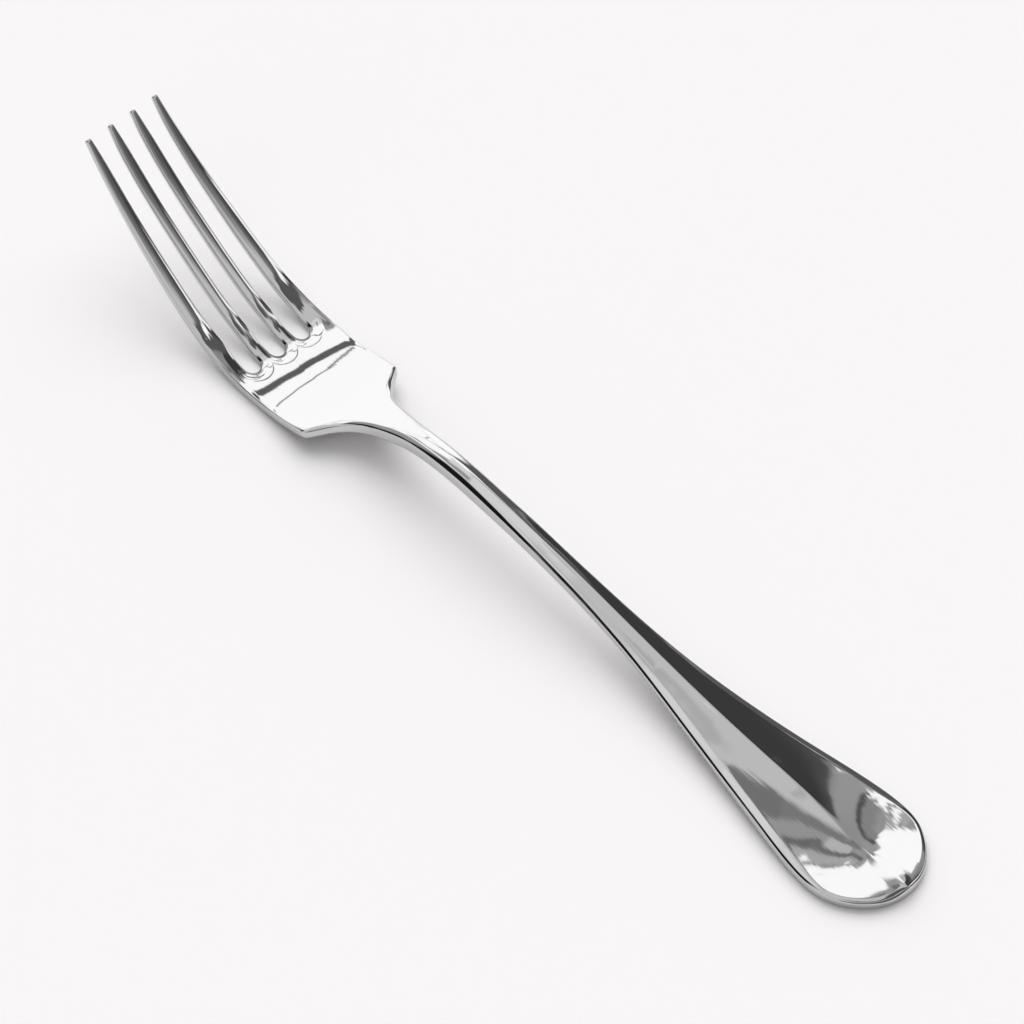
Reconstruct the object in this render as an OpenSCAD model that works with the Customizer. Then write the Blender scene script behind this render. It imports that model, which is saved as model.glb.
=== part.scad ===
// Dinner fork with four tines, forged in one piece from stainless steel.
// The fork lies as on a table: tines up, resting on the handle's end and on the back of its palm.
// X runs across the fork, Y from the handle towards the tine tips, Z up. Z = 0 is the table.
// Every region is a skin over rings that stand square to the spine, the line along the middle of the top.
// Neighbouring regions share their last ring, so they meet face to face.

/* [Overall] */
// Length from the handle's end to the tine tips
fork_l = 206; // [190:1:215]
// Width across the outer tines where the slots begin
head_w = 23.4; // [21:0.1:26]
// Widest part of the handle's end
handle_w = 25.3; // [20:0.1:26]
// Height of the spine at the tine tips
tip_z = 28.4; // [24:0.1:30]

/* [Thickness] */
// Thickness of the handle's end, through its rim
handle_t = 2.4; // [1.8:0.1:3]
// Thickness of the neck, through its crest
neck_t = 3.9; // [3:0.1:4.5]
// Thickness of the palm
palm_t = 2.33; // [1.8:0.01:2.8]
// Thickness of a tine's tip
tine_tip_t = 1.3; // [0.9:0.1:1.5]

/* [Tines] */
// Distance between the middles of two slots at their roots
root_pitch = 6.2; // [5.6:0.05:6.8]
// Distance between the middles of two tine tips
tip_pitch = 5.48; // [4.8:0.01:6]
// Width of a slot near its root
slot_w = 3.6; // [3:0.1:4]

/* [Relief] */
// Height of the handle's middle ridge over its edges
ridge_h = 1.45; // [0.6:0.05:1.8]
// Depth of the bowl inside the rim at the handle's end
hollow_h = 0.8; // [0.2:0.05:1]
// Width of the rim along the handle's edges
rim_w = 1.6; // [1:0.1:2.5]
// Outward slope of the rim, in degrees
rim_lean = 17; // [5:1:25]
// Fall of the neck's top from its crest to its edges
roof_h = 1.1; // [0.6:0.05:1.5]
// Depth of the palm's hollow
dish_h = 0.6; // [0.1:0.05:0.8]
// Height of a tine's rounded top over its sides
crown_h = 0.2; // [0.05:0.05:0.3]
// Rounding of the upper edges
edge_r = 0.3; // [0.2:0.05:0.6]
// Rounding of the lower edges
back_r = 0.8; // [0.4:0.05:0.9]
// Rounding of the ridge's crest
crest_r = 0.15; // [0.1:0.05:0.8]
// Depth of the two small flats worn where the fork rests
rest_cut = 0.08; // [0.02:0.01:0.1]

/* [Hidden] */

// Where one region ends and the next begins, as shares of the length
neck_share = 0.44;
palm_share = 0.65;
root_share = 0.7755;
palm_y = palm_share * fork_l;
root_y = root_share * fork_l;

// Height of the spine: share of the length, share of the tip's height
spine_shares = [
    [0, 0.0775], [0.04, 0.0851], [0.1, 0.1103], [0.17, 0.1318], [0.243, 0.18], [0.319, 0.2615],
    [0.389, 0.3417], [0.459, 0.4085], [0.511, 0.4398], [0.558, 0.45], [0.608, 0.4027], [0.658, 0.2734],
    [0.708, 0.1377], [0.754, 0.0827], [0.798, 0.1119], [0.848, 0.2447], [0.897, 0.445], [0.947, 0.687],
    [1, 1]
];

// Half width of the handle and neck: square root of the share of the length, share of handle_w / 2
blade_shares = [
    [0, 0], [0.07, 0.384], [0.121, 0.629], [0.171, 0.84], [0.221, 0.976], [0.261, 1],
    [0.312, 0.947], [0.368, 0.828], [0.419, 0.696], [0.468, 0.562], [0.517, 0.426], [0.562, 0.318],
    [0.624, 0.232], [0.679, 0.199], [0.739, 0.189], [0.764, 0.193], [0.785, 0.21], [0.798, 0.235]
];

// Half width of the shoulders and head: share of the length, share of head_w / 2
head_shares = [
    [0.6155, 0.227], [0.638, 0.286], [0.65, 0.335], [0.661, 0.415], [0.6705, 0.527], [0.68, 0.717],
    [0.686, 0.882], [0.691, 0.997], [0.696, 1.0215], [0.723, 1.019], [0.753, 1.007], [0.776, 1.002],
    [0.798, 0.987], [0.8425, 0.955], [0.924, 0.868], [1, 0.758]
];

// Thickness: share of the length, then shares of handle_t, neck_t, palm_t and tine_tip_t, which add up
thick_shares = [
    [0, 0.9, 0, 0, 0], [0.05, 1, 0, 0, 0], [0.15, 1, 0, 0, 0], [0.25, 0.99, 0, 0, 0], [0.4, 0.5, 0.5, 0, 0],
    [0.53, 0, 1, 0, 0], [0.6, 0, 0.93, 0, 0], [0.65, 0, 0.49, 0.47, 0], [0.7, 0, 0, 0.99, 0],
    [0.79, 0, 0, 1, 0], [0.85, 0, 0, 0.8, 0.18], [0.93, 0, 0, 0.37, 0.57], [1, 0, 0, 0, 1]
];

// Half width of a slot: share of the way from its root to the tips, share of slot_w / 2
slot_shares = [
    [0, 0.93], [0.12, 1], [0.3, 1], [0.5, 0.945], [0.7, 0.9], [0.85, 0.91], [0.94, 1.05], [1, 1.255]
];

// Relief: share of the length, then shares of ridge_h, of hollow_h, of roof_h for the edges' level beside
// the ridge, of roof_h for the neck's roof, and of dish_h
relief_shares = [
    [0, 0.455, 0.87, 0, 0, 0], [0.05, 0.585, 1, 0, 0, 0], [0.08, 0.76, 0.62, 0, 0, 0],
    [0.12, 0.965, 0.17, 0, 0, 0], [0.165, 1, 0, 0.05, 0, 0], [0.22, 0.93, 0, 0.16, 0, 0],
    [0.3, 0.82, 0, 0.42, 0, 0], [0.4, 0.73, 0, 0.78, 0, 0], [0.45, 0.69, 0, 0.88, 0, 0],
    [0.49, 0.35, 0, 0.48, 0.5, 0], [0.54, 0, 0, 0, 1.02, 0], [0.59, 0, 0, 0, 0.91, 0],
    [0.64, 0, 0, 0, 0.55, 0.05], [0.69, 0, 0, 0, 0.27, 0.25], [0.735, 0, 0, 0, 0.12, 0.75],
    [0.77, 0, 0, 0, 0, 1], [0.8, 0, 0, 0, 0, 0.8], [0.87, 0, 0, 0, 0, 0], [1, 0, 0, 0, 0, 0]
];

// Width of the rim: share of the length, share of rim_w
rim_shares = [
    [0, 1.45], [0.015, 1.06], [0.03, 0.65], [0.045, 0.53], [0.08, 0.94], [0.12, 1], [0.3, 0.87],
    [0.53, 0.5], [1, 0.5]
];

// Where the rim's slope fades out on its way to the palm, as shares of the length
rim_end_shares = [0.56, 0.7];

// Half width of the flat facet from the palm into the neck: share of the length, share of the half width
facet_shares = [
    [0, 0], [0.57, 0], [0.595, 0.12], [0.619, 0.46], [0.643, 0.74], [0.68, 0.81], [0.7, 0.95], [1, 0.97]
];

// Where rings stand, as shares of the length
handle_ring_shares = [
    0.0002, 0.0012, 0.004, 0.0075, 0.012, 0.018, 0.026, 0.036, 0.05, 0.066, 0.084, 0.105, 0.13,
    0.16, 0.19, 0.22, 0.25, 0.28, 0.31, 0.34, 0.37, 0.4, 0.42, neck_share
];
neck_ring_shares = [
    neck_share, 0.46, 0.48, 0.5, 0.52, 0.54, 0.56, 0.575, 0.59, 0.605, 0.62, 0.63, 0.64, palm_share
];
palm_ring_shares = [
    palm_share, 0.66, 0.668, 0.675, 0.681, 0.6865, 0.691, 0.696, 0.704, 0.714, 0.726, 0.737,
    0.746, 0.754, 0.761, 0.767, 0.771, 0.7733, 0.7747, 0.7753, root_share
];
tine_ring_shares = [
    0.792, 0.806, 0.82, 0.834, 0.848, 0.864, 0.88, 0.897, 0.915, 0.935, 0.955, 0.97, 0.982, 0.99
];

// Most of the thickness that the lower edges' rounding may take
back_round_share = 0.4;

// Share of the half width that the handle's ridge and its flanks reach across
ridge_share = 1.08;

// Distance over which the bowl deepens from the rim inwards, as a share of half of handle_w
bowl_share = 0.9;

// Length of the stretch over which the tines' tops become round, as a share of slot_w
crown_start_share = 4;

// Where points stand across a tine, from its left side (0) to its right side (1)
across_shares = [0, 0.02, 0.07, 0.17, 0.5, 0.83, 0.93, 0.98, 1];

// Rows of a table that lie left of x
function row(table, x, i = 0) =
    i >= len(table) - 2 || x < table[i + 1][0] ? i : row(table, x, i + 1);

// Slope of a table's column at row i, from its two neighbours
function rise(table, i, column) =
    let (a = table[max(0, i - 1)], b = table[min(len(table) - 1, i + 1)])
    (b[column] - a[column]) / (b[0] - a[0]);

// Smooth curve through a table's points
function smooth(table, x, column = 1) =
    let (
        i = row(table, x),
        a = table[i],
        b = table[i + 1],
        h = b[0] - a[0],
        u = min(1, max(0, (x - a[0]) / h)),
        rise_a = rise(table, i, column) * h,
        rise_b = rise(table, i + 1, column) * h
    )
    a[column] + u * (rise_a + u * (3 * (b[column] - a[column]) - 2 * rise_a - rise_b
        + u * (rise_a + rise_b - 2 * (b[column] - a[column]))));

// Soft step from 0 at a to 1 at b
function soft(a, b, x) =
    let (u = min(1, max(0, (x - a) / (b - a))))
    u * u * (3 - 2 * u);

function spine_z(y) = smooth(spine_shares, y / fork_l) * tip_z;
function spine_rise(y) = (spine_z(y + edge_r) - spine_z(y - edge_r)) / (2 * edge_r);
function half_w(y) =
    y < head_shares[0][0] * fork_l
        ? smooth(blade_shares, sqrt(y / fork_l)) * handle_w / 2
        : smooth(head_shares, y / fork_l) * head_w / 2;
function thick(y) =
    let (s = y / fork_l)
    smooth(thick_shares, s, 1) * handle_t + smooth(thick_shares, s, 2) * neck_t
        + smooth(thick_shares, s, 3) * palm_t + smooth(thick_shares, s, 4) * tine_tip_t;

// How far along a slot y is, from its root (0) to the tips (1)
function along(y) = min(1, max(0, (y - root_y) / (fork_l - root_y)));
function slot_x(k, y) = k * (root_pitch + (tip_pitch - root_pitch) * along(y));
function slot_half(y) =
    let (r = slot_w / 2, past = min(r, max(0, y - root_y)))
    sqrt(r * r - (r - past) * (r - past)) * smooth(slot_shares, along(y));

// Distance from a point on the top to the fork's outline
function edge_gap(x, y) =
    let (
        w = half_w(y),
        step = edge_r / 5,
        lean = y < step ? w * w / (2 * y) : w * (half_w(y + step) - half_w(y - step)) / (2 * step)
    )
    (w * w - x * x) / (2 * sqrt(lean * lean + x * x) + edge_r / 1000);

// Distance from a point on the top to the nearest slot
function slot_gap(x, y) =
    let (r = slot_w / 2)
    min([for (k = [-1:1])
        y < root_y + r
            ? sqrt(pow(x - slot_x(k, y), 2) + pow(y - root_y - r, 2)) - r
            : abs(x - slot_x(k, y)) - slot_half(y)]);

function wall_gap(x, y) = max(0, y < palm_y ? edge_gap(x, y) : min(edge_gap(x, y), slot_gap(x, y)));
function rounded(r, gap) = gap >= r ? 0 : r - sqrt(r * r - (r - gap) * (r - gap));

// Depth of the tines' rounded tops beside their middles, past the slots' roots
function crown_drop(x, y) =
    let (
        pitch = slot_x(1, y),
        side = slot_half(y),
        w = half_w(y),
        inner = abs(x) < pitch,
        middle = inner ? pitch / 2 : (pitch + side + w) / 2,
        half = inner ? pitch / 2 - side : (w - pitch - side) / 2,
        away = min(1, abs(abs(x) - middle) / half)
    )
    crown_h * soft(root_y, root_y + slot_w * crown_start_share, y) * away * away;

// Depth of the rim's outward slope
function rim_drop(y, gap, rim) =
    let (fade = 1 - soft(rim_end_shares[0], rim_end_shares[1], y / fork_l))
    tan(rim_lean) * max(0, rim - gap) * fade;

// Depth of the top below the spine's level, with the handle's edges and the neck's crest at zero
function top_drop(x, y) =
    let (
        s = y / fork_l,
        w = half_w(y),
        gap = wall_gap(x, y),
        rim = smooth(rim_shares, s) * rim_w,
        reach = min(1, sqrt(x * x + crest_r * crest_r) / max(w * ridge_share, crest_r)),
        ridge = smooth(relief_shares, s, 1) * ridge_h * (1 - reach) * (1 - reach),
        inwards = min(1, max(0, gap - rim) / (handle_w / 2 * bowl_share)),
        bowl = smooth(relief_shares, s, 2) * hollow_h * inwards,
        level = smooth(relief_shares, s, 3) * roof_h,
        flat = smooth(facet_shares, s) * w,
        off_flat = max(0, abs(x) - flat) / max(w - flat, edge_r),
        roof = smooth(relief_shares, s, 4) * roof_h * off_flat,
        dish = smooth(relief_shares, s, 5) * dish_h * max(0, 1 - x * x / (w * w))
    )
    bowl + level + roof + dish - ridge + rim_drop(y, gap, rim) + crown_drop(x, y) + rounded(edge_r, gap);

// Depth of the back below the spine's level, with its lower edges rounded less where the fork is thin
function back_drop(x, y) = thick(y) - rounded(min(back_r, thick(y) * back_round_share), wall_gap(x, y));

// A point of a ring: drop is measured square to the spine, and nothing goes below the table
function ring_point(x, y, drop) =
    let (angle = atan(spine_rise(y)))
    [x, y + drop * sin(angle) - fork_l / 2, max(0, spine_z(y) - rest_cut - drop * cos(angle))];

function ring(xs, y) = concat(
    [for (x = xs) ring_point(x, y, top_drop(x, y))],
    [for (i = [len(xs) - 1:-1:0]) ring_point(xs[i], y, back_drop(xs[i], y))]
);

// Left and right side of tine n, 0 to 3, at y
function tine_left(n, y) = n == 0 ? -half_w(y) : slot_x(n - 2, y) + slot_half(y);
function tine_right(n, y) = n == 3 ? half_w(y) : slot_x(n - 1, y) - slot_half(y);
function tine_xs(n, y) =
    let (left = tine_left(n, y), right = tine_right(n, y))
    [for (s = across_shares) left + (right - left) * s];

// Places of points across the whole fork, as shares of its half width, as the tines have them at their roots
whole_shares = [
    for (n = [0:3])
        for (i = [(n == 0 ? 0 : 1):len(across_shares) - 1])
            tine_xs(n, root_y)[i] / half_w(root_y)
];
function whole_xs(y) = [for (s = whole_shares) s * half_w(y)];

// Solid over a row of rings with the same number of points
module skin(rings) {
    n = len(rings[0]);
    last = (len(rings) - 1) * n;
    half = n / 2;
    polyhedron(
        points = [for (r = rings) for (p = r) p],
        faces = concat(
            [for (i = [0:half - 2]) [i, i + 1, n - 2 - i, n - 1 - i]],
            [for (i = [0:half - 2]) [last + n - 1 - i, last + n - 2 - i, last + i + 1, last + i]],
            [for (k = [0:len(rings) - 2]) for (i = [0:n - 1])
                let (a = k * n + i, b = k * n + (i + 1) % n)
                [a, a + n, b + n, b]]
        )
    );
}

// Broad end that is held, with a ridge down its middle, hollow flanks and a raised rim
module handle() {
    color("silver")
        skin([for (s = handle_ring_shares) ring(whole_xs(s * fork_l), s * fork_l)]);
}

// Narrow stem with a roofed top, whose crest flattens towards the palm
module neck() {
    color("gainsboro")
        skin([for (s = neck_ring_shares) ring(whole_xs(s * fork_l), s * fork_l)]);
}

// Slightly hollow plate from the shoulders to the slot roots
module palm() {
    color("whitesmoke")
        skin([for (s = palm_ring_shares) ring(whole_xs(s * fork_l), s * fork_l)]);
}

// One tine, from the middle of its neighbouring slots' round roots to its tip
module tine(n) {
    r = slot_w / 2;
    root_ys = [for (a = [0:15:90]) root_y + r * (1 - cos(a))];
    ys = concat(root_ys, [for (s = tine_ring_shares) s * fork_l]);
    tip_rise = atan(spine_rise(fork_l - tine_tip_t));
    last_y = fork_l - tine_tip_t * sin(tip_rise);
    color("silver")
        skin([for (y = concat(ys, last_y)) ring(tine_xs(n, y), y)]);
}

module tine_1() { tine(0); }
module tine_2() { tine(1); }
module tine_3() { tine(2); }
module tine_4() { tine(3); }

handle();
neck();
palm();
tine_1();
tine_2();
tine_3();
tine_4();
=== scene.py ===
"""Looks of a polished stainless steel dinner fork, dressed over its CAD frame.

Lengths inside the form are in millimetres, as in the part's own source, and become metres when a mesh is
made. X runs across the fork, Y from the handle towards the tine tips, Z up, with the table at Z = 0.
"""

import logging
from dataclasses import dataclass, field
from enum import Enum

import bpy
import numpy as np
from mathutils import Matrix, Vector


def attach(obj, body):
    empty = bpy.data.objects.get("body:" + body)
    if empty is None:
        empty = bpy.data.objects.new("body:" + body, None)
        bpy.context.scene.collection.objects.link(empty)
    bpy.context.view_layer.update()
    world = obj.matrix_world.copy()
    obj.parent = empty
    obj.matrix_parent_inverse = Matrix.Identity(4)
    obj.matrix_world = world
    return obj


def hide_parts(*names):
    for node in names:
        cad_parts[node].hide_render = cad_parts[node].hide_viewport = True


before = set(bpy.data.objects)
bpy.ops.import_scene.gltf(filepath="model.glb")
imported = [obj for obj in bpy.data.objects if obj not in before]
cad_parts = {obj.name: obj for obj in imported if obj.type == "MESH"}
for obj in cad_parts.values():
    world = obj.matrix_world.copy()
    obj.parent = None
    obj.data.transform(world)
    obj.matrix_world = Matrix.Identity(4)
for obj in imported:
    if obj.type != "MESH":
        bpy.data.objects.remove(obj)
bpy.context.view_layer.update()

log = logging.getLogger("fork")
MM = 0.001
TINY = 1e-12

Array = np.ndarray
Table = tuple[tuple[float, ...], ...]


def smooth_curve(table: Table, x: Array, column: int = 1) -> Array:
    """Read a smooth curve through a table's points.

    The curve is the natural cubic spline: its second derivatives solve the usual three-term equations, so
    its curvature has no jumps, and a mirror finish shows no kinks where two stretches meet.

    Args:
        table: Rows that start with the place and go on with one or more values.
        x: Places to read.
        column: Which value of the rows to read.

    Returns:
        The curve's value at each place, held at its ends.
    """
    rows = np.asarray(table, float)
    px, py = rows[:, 0], rows[:, column]
    h = np.diff(px)
    n = len(px)
    bend = np.eye(n)
    want = np.zeros(n)
    inner = np.arange(1, n - 1)
    bend[inner, inner - 1] = h[:-1]
    bend[inner, inner] = 2.0 * (h[:-1] + h[1:])
    bend[inner, inner + 1] = h[1:]
    want[inner] = 6.0 * (np.diff(py)[1:] / h[1:] - np.diff(py)[:-1] / h[:-1])
    second = np.linalg.solve(bend, want)
    at = np.clip(np.asarray(x, float), px[0], px[-1])
    i = np.clip(np.searchsorted(px, at, side="right") - 1, 0, n - 2)
    a, b = (px[i + 1] - at) / h[i], (at - px[i]) / h[i]
    lift = ((a**3 - a) * second[i] + (b**3 - b) * second[i + 1]) * h[i] ** 2 / 6.0
    return a * py[i] + b * py[i + 1] + lift


def soft_step(a: float, b: float, x: Array) -> Array:
    """Rise from 0 at a to 1 at b along u*u*u*(10 - 15u + 6uu), level in slope and curvature at both ends."""
    u = np.clip((np.asarray(x, float) - a) / (b - a), 0.0, 1.0)
    return u * u * u * (10.0 - 15.0 * u + 6.0 * u * u)


@dataclass
class ForkForm:
    """Shape of the fork as functions of x and y, in millimetres, from the same sizes as the CAD part.

    A share is a part of another size: places along the fork are shares of its length, and the values of a
    table are shares of the size that it goes with.
    """

    # Length, widths and height
    length: float = 206.0
    head_w: float = 23.4
    handle_w: float = 25.3
    tip_z: float = 28.4

    # Thicknesses of the handle, the neck, the palm and the tine tips
    handle_t: float = 2.4
    neck_t: float = 3.9
    palm_t: float = 2.33
    tine_tip_t: float = 1.3

    # Slots between the tines
    root_pitch: float = 6.2
    tip_pitch: float = 5.48
    slot_w: float = 3.6

    # Relief of the top: heights and depths, the rim's width and its angle in degrees
    ridge_h: float = 1.45
    swell_h: float = 0.1
    hollow_h: float = 0.8
    rim_w: float = 1.6
    rim_lean: float = 17.0
    roof_h: float = 1.1
    dish_h: float = 0.6
    crown_h: float = 0.2
    scoop_h: float = 0.65
    scoop_r: float = 2.8

    # Roundings, and how far the lowest points are ground flat
    edge_r: float = 0.3
    back_r: float = 0.8
    crest_r: float = 0.15
    rest_cut: float = 0.08

    # Places along the fork: the starts of the neck and the palm, the slots' roots, the join of the outline's
    # two curves with its blend, the end of the broad part, the end of the stretch where the hollow's reach
    # narrows, and the stretch where the top edge gets less round
    neck_share: float = 0.44
    palm_share: float = 0.65
    root_share: float = 0.7755
    join_share: float = 0.6155
    join_blend_shares: tuple[float, float] = (0.012, 0.006)
    broad_share: float = 0.3
    hollow_turn_share: float = 0.25
    near_round_shares: tuple[float, float] = (0.58, 0.66)

    # Shares of the half widths, of the rim's width, of the thickness, of the edge's radius, of the slot's
    # width and of its radius
    ridge_reach_share: float = 1.08
    hollow_reach_shares: tuple[float, float] = (0.95, 0.7)
    crease_share: float = 0.1
    back_round_share: float = 0.4
    near_round_share: float = 0.6
    crown_run_share: float = 4.0
    scoop_run_share: float = 5.0

    # Powers of the hollow's and the roof's curves, and the steps that slopes and feet are measured with
    hollow_power: float = 1.3
    roof_power: float = 1.15
    lean_step: float = 0.5
    q_step: float = 1e-4
    first_q: float = 0.001
    foot_count: int = 500

    # Height of the middle line
    spine_shares: Table = (
        (0, 0.0775), (0.04, 0.0851), (0.1, 0.1103), (0.17, 0.1318), (0.243, 0.18), (0.319, 0.2615),
        (0.389, 0.3417), (0.459, 0.4085), (0.511, 0.4398), (0.558, 0.45), (0.608, 0.4027), (0.658, 0.2734),
        (0.708, 0.1377), (0.754, 0.0827), (0.798, 0.1119), (0.848, 0.2447), (0.897, 0.445), (0.947, 0.687),
        (1, 1),
    )
    # Width of the handle and the neck, whose rows start with the root of the share of the length
    blade_shares: Table = (
        (0, 0), (0.07, 0.384), (0.121, 0.629), (0.171, 0.84), (0.221, 0.976), (0.261, 1),
        (0.312, 0.947), (0.368, 0.828), (0.419, 0.696), (0.468, 0.562), (0.517, 0.426), (0.562, 0.318),
        (0.624, 0.232), (0.679, 0.199), (0.739, 0.189), (0.764, 0.193), (0.785, 0.21), (0.798, 0.24),
    )
    # Width of the palm and across the tines
    head_shares: Table = (
        (0.6, 0.2095), (0.6155, 0.227), (0.638, 0.286), (0.65, 0.335), (0.661, 0.415), (0.6705, 0.527),
        (0.68, 0.717), (0.686, 0.882), (0.691, 0.997), (0.696, 1.0215), (0.723, 1.019), (0.753, 1.007),
        (0.776, 1.002), (0.798, 0.987), (0.8425, 0.955), (0.924, 0.868), (1, 0.758),
    )
    # Thickness, as shares of the four thicknesses above
    thick_shares: Table = (
        (0, 0.9, 0, 0, 0), (0.05, 1, 0, 0, 0), (0.15, 1, 0, 0, 0), (0.25, 0.99, 0, 0, 0),
        (0.4, 0.5, 0.5, 0, 0), (0.53, 0, 1, 0, 0), (0.6, 0, 0.93, 0, 0), (0.65, 0, 0.49, 0.47, 0),
        (0.7, 0, 0, 0.99, 0), (0.79, 0, 0, 1, 0), (0.85, 0, 0, 0.8, 0.18), (0.93, 0, 0, 0.37, 0.57),
        (1, 0, 0, 0, 1),
    )
    # Width of the slots, from their roots (0) to the tine tips (1)
    slot_shares: Table = (
        (0, 0.93), (0.12, 1), (0.3, 1), (0.5, 0.945), (0.7, 0.9), (0.85, 0.91), (0.94, 1.05), (1, 1.255),
    )
    # Height of the handle's middle ridge
    ridge_shares: Table = (
        (0, 0.455), (0.025, 0.525), (0.05, 0.585), (0.08, 0.76), (0.12, 0.965), (0.165, 1), (0.22, 0.93),
        (0.29, 0.83), (0.37, 0.76), (0.45, 0.69), (0.49, 0.35), (0.54, 0), (0.55, 0), (1, 0),
    )
    # Depth of the hollow at the handle's end
    hollow_shares: Table = (
        (0, 0.87), (0.025, 0.94), (0.05, 1), (0.08, 0.62), (0.12, 0.17), (0.165, 0), (0.175, 0), (1, 0),
    )
    # Width of the rim
    rim_shares: Table = (
        (0, 0.78), (0.005, 0.76), (0.015, 0.68), (0.025, 0.6), (0.034, 0.54), (0.044, 0.53), (0.058, 0.66),
        (0.078, 0.94), (0.12, 1), (0.2, 0.94), (0.3, 0.87), (0.44, 0.62), (0.53, 0.5), (0.58, 0.55),
        (0.64, 0.7), (0.69, 0.72), (0.73, 0.5), (0.8, 0.45), (0.83, 0.45), (0.9, 0.4), (0.91, 0.4), (1, 0.4),
    )
    # Slope of the rim, and of the bevels along the tines
    lean_shares: Table = (
        (0, 0.35), (0.01, 0.4), (0.03, 0.7), (0.06, 1), (0.07, 1), (0.55, 1), (0.56, 1), (0.63, 0.75),
        (0.69, 0.65), (0.73, 0.25), (0.76, 0), (0.8, 0), (0.81, 0), (0.83, 1), (0.85, 1.9), (0.86, 1.95),
        (1, 1.95),
    )
    # Depth by which the top sinks evenly before the neck's roof takes over from the ridge
    fall_shares: Table = (
        (0, 0), (0.11, 0), (0.12, 0), (0.2, 0.11), (0.3, 0.42), (0.4, 0.78), (0.45, 0.88), (0.49, 0.48),
        (0.54, 0), (0.55, 0), (1, 0),
    )
    # Depth of the roof's eaves
    roof_shares: Table = (
        (0, 0), (0.44, 0), (0.45, 0), (0.49, 0.5), (0.525, 0.98), (0.56, 1.04), (0.59, 0.91), (0.617, 0.73),
        (0.64, 0.55), (0.665, 0.41), (0.69, 0.27), (0.714, 0.18), (0.735, 0.12), (0.77, 0), (0.78, 0),
        (1, 0),
    )
    # Depth of the palm's dish
    dish_shares: Table = (
        (0, 0), (0.6, 0), (0.61, 0), (0.63, 0.04), (0.665, 0.17), (0.69, 0.25), (0.714, 0.42), (0.735, 0.75),
        (0.75, 0.92), (0.77, 1), (0.79, 0.9), (0.83, 0.3), (0.87, 0), (0.88, 0), (1, 0),
    )
    # Half width of the flat facet between the roof's slopes
    facet_shares: Table = (
        (0, 0), (0.56, 0), (0.57, 0), (0.58, 0.02), (0.595, 0.12), (0.607, 0.3), (0.619, 0.46),
        (0.631, 0.63), (0.643, 0.74), (0.66, 0.79), (0.68, 0.81), (0.695, 0.94), (0.73, 0.97), (0.74, 0.97),
        (1, 0.97),
    )

    @property
    def root_y(self) -> float:
        """Place of the slots' roots along the fork."""
        return self.root_share * self.length

    def spine_z(self, y: Array) -> Array:
        """Height of the line along the middle of the top."""
        return smooth_curve(self.spine_shares, y / self.length) * self.tip_z

    def spine_lean(self, y: Array) -> Array:
        """Angle of the spine over the table, from its rise over a short run."""
        rise = self.spine_z(y + self.lean_step) - self.spine_z(y - self.lean_step)
        return np.arctan(rise / (2.0 * self.lean_step))

    def half_w(self, y: Array) -> Array:
        """Half width of the outline.

        Up to the neck it is a spline over the root of y, so that the handle's end is round.

        Args:
            y: Places along the fork.

        Returns:
            Half widths.
        """
        s = np.maximum(np.asarray(y, float), 0.0) / self.length
        blade = smooth_curve(self.blade_shares, np.sqrt(s)) * self.handle_w / 2.0
        head = smooth_curve(self.head_shares, s) * self.head_w / 2.0
        before, after = self.join_blend_shares
        turn = soft_step(self.join_share - before, self.join_share + after, s)
        return blade * (1.0 - turn) + head * turn

    def thick(self, y: Array) -> Array:
        """Thickness square to the spine, as shares of the handle's, neck's, palm's and tine tip's."""
        s, sizes = y / self.length, (self.handle_t, self.neck_t, self.palm_t, self.tine_tip_t)
        return sum(smooth_curve(self.thick_shares, s, i) * size for i, size in enumerate(sizes, 1))

    def along(self, y: Array) -> Array:
        """How far along the slots a place is, from their roots (0) to the tine tips (1)."""
        return np.clip((y - self.root_y) / (self.length - self.root_y), 0.0, 1.0)

    def slot_x(self, k: int, y: Array) -> Array:
        """Middle of slot k, -1 to 1: the pitch narrows evenly from the roots to the tips."""
        return k * (self.root_pitch + (self.tip_pitch - self.root_pitch) * self.along(y))

    def slot_side(self, y: Array) -> Array:
        """Half width of a slot past its round root."""
        return self.slot_w / 2.0 * smooth_curve(self.slot_shares, self.along(y))

    def rim(self, y: Array) -> Array:
        """Width of the rim, whose inner side is a crease, from the place of the outline it starts at."""
        return smooth_curve(self.rim_shares, y / self.length) * self.rim_w

    def outline_run(self, q: Array) -> tuple[Array, Array]:
        """How far the outline moves over a short step of q, where y is q * q * length.

        Behind q = 0 the half width counts as negative, so that the outline runs on round the nose.

        Args:
            q: Roots of the shares of the length.

        Returns:
            The moves across and along.
        """
        ahead, behind = q + self.q_step, q - self.q_step
        behind_w = np.sign(behind) * self.half_w(behind**2 * self.length)
        return self.half_w(ahead**2 * self.length) - behind_w, 4.0 * q * self.q_step * self.length

    def deep_gap(self, x: Array, y: Array) -> Array:
        """Distance of points from the outline of the handle's broad part.

        The nearest of many outline points gives the foot, and the distance is taken square to the outline
        there, so that it changes evenly from point to point.

        Args:
            x: Places across the fork.
            y: Places along the fork.

        Returns:
            Distances.
        """
        q = np.linspace(self.first_q, np.sqrt(self.broad_share), self.foot_count)
        foot_x, foot_y = self.half_w(q * q * self.length), q * q * self.length
        run_x, run_y = self.outline_run(q)
        near = np.argmin(np.hypot(np.abs(x)[..., None] - foot_x, y[..., None] - foot_y), axis=-1)
        off_x, off_y = foot_x[near] - np.abs(x), foot_y[near] - y
        return np.abs(off_x * run_y[near] - off_y * run_x[near]) / np.hypot(run_x, run_y)[near]

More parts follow.
